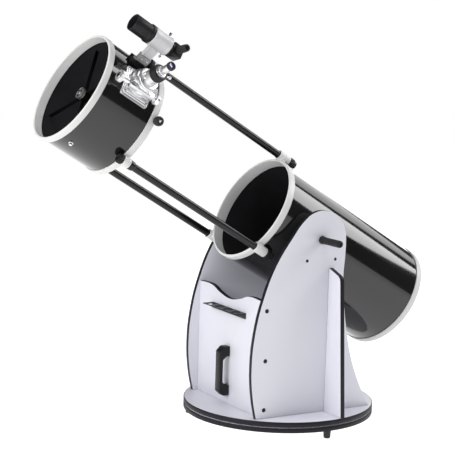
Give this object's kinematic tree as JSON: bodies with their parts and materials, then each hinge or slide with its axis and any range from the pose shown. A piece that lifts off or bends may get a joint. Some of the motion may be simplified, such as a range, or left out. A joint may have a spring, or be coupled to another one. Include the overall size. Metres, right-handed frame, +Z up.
{
  "type": "dobsonian telescope",
  "caption": "Collapsible truss-tube reflecting telescope on a rocker-box base, with focuser, right-angle finder, tilting optics and lock knobs.",
  "frame": {"origin": "on the floor, under the middle of the telescope's bounding box; the azimuth axis stands 179.7 mm behind it along +Y", "axes": "+Z up, -Y the way the tube looks, X across the base with +X on the focuser's side"},
  "size_m": [0.6348, 1.376, 1.322],
  "materials": {
    "laminate": "white melamine laminate with black edge band",
    "black_tube": "gloss black",
    "white_ring": "satin white",
    "black_plastic": "satin black",
    "rod_black": "gloss black",
    "silver": "satin machined",
    "chrome": "polished",
    "steel": "brushed",
    "nylon": "natural nylon",
    "rubber": "matt",
    "mirror": "first-surface aluminised glass",
    "grey_bracket": "grey painted casting"
  },
  "bodies": {
    "ground": {"ground_board": "laminate", "foot_right": "rubber", "foot_left_front": "rubber", "foot_left_rear": "rubber", "azimuth_bolt": "steel", "azimuth_lock_nut": "steel"},
    "roller_cage": {"roller_bearing": "steel"},
    "rocker": {"rotating_board": "laminate", "side_panel_right": "laminate", "side_panel_left": "laminate", "panel_brace_right": "laminate", "panel_brace_left": "laminate", "bearing_post_right_front": "nylon", "bearing_post_right_rear": "nylon", "bearing_post_left_front": "nylon", "bearing_post_left_rear": "nylon", "front_board": "laminate", "carry_handle": "black_plastic", "eyepiece_rack": "black_plastic"},
    "tube": {"lower_tube": "black_tube", "lower_front_ring": "white_ring", "lower_rear_ring": "white_ring", "altitude_bearing_right": "black_plastic", "altitude_bearing_left": "black_plastic", "mirror_cell_frame": "black_plastic"},
    "primary": {"mirror_support": "steel", "primary_mirror": "mirror"},
    "cage": {"upper_tube": "black_tube", "upper_front_ring": "white_ring", "upper_rear_ring": "white_ring", "truss_rod_top": "rod_black", "truss_rod_right": "rod_black", "truss_rod_left": "rod_black", "rest_bumper": "rubber", "spider": "black_plastic", "focuser_base": "silver", "finder_shoe": "black_plastic"},
    "secondary": {"secondary_holder": "black_plastic", "secondary_mirror": "mirror"},
    "drawtube": {"focuser_drawtube": "silver"},
    "focus_shaft": {"focus_knobs": "silver"},
    "eyepiece_body": {"eyepiece": "black_plastic"},
    "eyepiece_clamp": {"eyepiece_clamp_screw": "chrome"},
    "finder_holder": {"finder_bracket": "grey_bracket", "finder_screw_3": "chrome"},
    "finder": {"finder_tube": "black_plastic", "finder_eyepiece": "black_plastic"},
    "collimation_1": {"collimation_knob_1": "black_plastic"},
    "collimation_2": {"collimation_knob_2": "black_plastic"},
    "collimation_3": {"collimation_knob_3": "black_plastic"},
    "tension_right": {"tension_handle_right": "black_plastic"},
    "tension_left": {"tension_handle_left": "black_plastic"},
    "truss_lock_top": {"truss_lock_knob_top": "black_plastic"},
    "rod_fixing_top": {"rod_fixing_knob_top": "black_plastic"},
    "truss_lock_right": {"truss_lock_knob_right": "black_plastic"},
    "rod_fixing_right": {"rod_fixing_knob_right": "black_plastic"},
    "truss_lock_left": {"truss_lock_knob_left": "black_plastic"},
    "rod_fixing_left": {"rod_fixing_knob_left": "black_plastic"},
    "finder_adjuster_1": {"finder_screw_1": "chrome"},
    "finder_adjuster_2": {"finder_screw_2": "chrome"}
  },
  "joints": [
    {"name": "azimuth_turn", "type": "hinge", "parent": "ground", "child": "rocker", "pos_m": [0, 0.17966, 0.0622], "axis": [0, 0, 1], "continuous": true},
    {"name": "roller_turn", "type": "hinge", "parent": "ground", "child": "roller_cage", "pos_m": [0, 0.17966, 0.0446], "axis": [0, 0, 1], "continuous": true},
    {"name": "altitude_tilt", "type": "hinge", "parent": "rocker", "child": "tube", "pos_m": [0, 0.18966, 0.6272], "axis": [-1, 0, 0], "range_deg": [-31, 58.9]},
    {"name": "cage_collapse", "type": "slide", "parent": "tube", "child": "cage", "axis": [0, -0.8563, 0.5165], "range_m": [-0.5, 0]},
    {"name": "mirror_tip", "type": "hinge", "parent": "tube", "child": "primary", "pos_m": [0, 0.57267, 0.39615], "axis": [1, 0, 0], "range_deg": [-0.6, 0.6]},
    {"name": "collimation_turn_1", "type": "hinge", "parent": "tube", "child": "collimation_1", "pos_m": [0, 0.66369, 0.48373], "axis": [0, -0.8563, 0.5165], "continuous": true},
    {"name": "collimation_turn_2", "type": "hinge", "parent": "tube", "child": "collimation_2", "pos_m": [-0.10565, 0.56916, 0.32703], "axis": [0, -0.8563, 0.5165], "continuous": true},
    {"name": "collimation_turn_3", "type": "hinge", "parent": "tube", "child": "collimation_3", "pos_m": [0.10565, 0.56916, 0.32703], "axis": [0, -0.8563, 0.5165], "continuous": true},
    {"name": "tension_turn_right", "type": "hinge", "parent": "tube", "child": "tension_right", "pos_m": [0.25, 0.18966, 0.6272], "axis": [1, 0, 0], "continuous": true},
    {"name": "tension_turn_left", "type": "hinge", "parent": "tube", "child": "tension_left", "pos_m": [-0.25, 0.18966, 0.6272], "axis": [-1, 0, 0], "continuous": true},
    {"name": "truss_lock_turn_top", "type": "hinge", "parent": "tube", "child": "truss_lock_top", "pos_m": [0.01021, 0.19007, 0.85438], "axis": [0, -0.8563, 0.5165], "continuous": true},
    {"name": "rod_fixing_turn_top", "type": "hinge", "parent": "cage", "child": "rod_fixing_top", "pos_m": [0.01021, -0.33568, 1.17153], "axis": [0, -0.8563, 0.5165], "continuous": true},
    {"name": "truss_lock_turn_right", "type": "hinge", "parent": "tube", "child": "truss_lock_right", "pos_m": [0.14938, 0.02474, 0.58031], "axis": [0, -0.8563, 0.5165], "continuous": true},
    {"name": "rod_fixing_turn_right", "type": "hinge", "parent": "cage", "child": "rod_fixing_right", "pos_m": [0.14938, -0.50101, 0.89746], "axis": [0, -0.8563, 0.5165], "continuous": true},
    {"name": "truss_lock_turn_left", "type": "hinge", "parent": "tube", "child": "truss_lock_left", "pos_m": [-0.14938, 0.02474, 0.58031], "axis": [0, -0.8563, 0.5165], "continuous": true},
    {"name": "rod_fixing_turn_left", "type": "hinge", "parent": "cage", "child": "rod_fixing_left", "pos_m": [-0.14938, -0.50101, 0.89746], "axis": [0, -0.8563, 0.5165], "continuous": true},
    {"name": "secondary_tilt", "type": "hinge", "parent": "cage", "child": "secondary", "pos_m": [0, -0.53791, 1.0661], "axis": [-0.4772, 0.4539, 0.7525], "range_deg": [-0.8, 0.8]},
    {"name": "focus_slide", "type": "slide", "parent": "cage", "child": "drawtube", "axis": [0.8788, 0.2465, 0.4086], "range_m": [-0.018, 0.018]},
    {"name": "focus_turn", "type": "hinge", "parent": "cage", "child": "focus_shaft", "pos_m": [0.19695, -0.45777, 1.10078], "axis": [0, -0.8563, 0.5165], "range_deg": [-330, 330]},
    {"name": "eyepiece_pull", "type": "slide", "parent": "drawtube", "child": "eyepiece_body", "axis": [0.8788, 0.2465, 0.4086], "range_m": [0, 0.04]},
    {"name": "eyepiece_clamp_turn", "type": "hinge", "parent": "drawtube", "child": "eyepiece_clamp", "pos_m": [0.23698, -0.39082, 1.14071], "axis": [-0.1235, 0.9446, -0.3042], "continuous": true},
    {"name": "finder_mount_slide", "type": "slide", "parent": "cage", "child": "finder_holder", "axis": [0, -0.8563, 0.5165], "range_m": [0, 0.05]},
    {"name": "finder_aim", "type": "hinge", "parent": "finder_holder", "child": "finder", "pos_m": [0.15769, -0.38829, 1.24888], "axis": [-0.829, 0.2888, 0.4788], "range_deg": [-2, 2]},
    {"name": "finder_adjuster_turn_1", "type": "hinge", "parent": "finder_holder", "child": "finder_adjuster_1", "pos_m": [0.15372, -0.34308, 1.26574], "axis": [-0.1045, 0.5137, 0.8516], "continuous": true},
    {"name": "finder_adjuster_turn_2", "type": "hinge", "parent": "finder_holder", "child": "finder_adjuster_2", "pos_m": [0.1199, -0.36466, 1.22998], "axis": [-0.9945, -0.054, -0.0895], "continuous": true}
  ],
  "couplings": [
    {"joint": "roller_turn", "follows": "azimuth_turn", "ratio": 0.5},
    {"joint": "focus_turn", "follows": "focus_slide", "rad_per_m": 312.5}
  ]
}
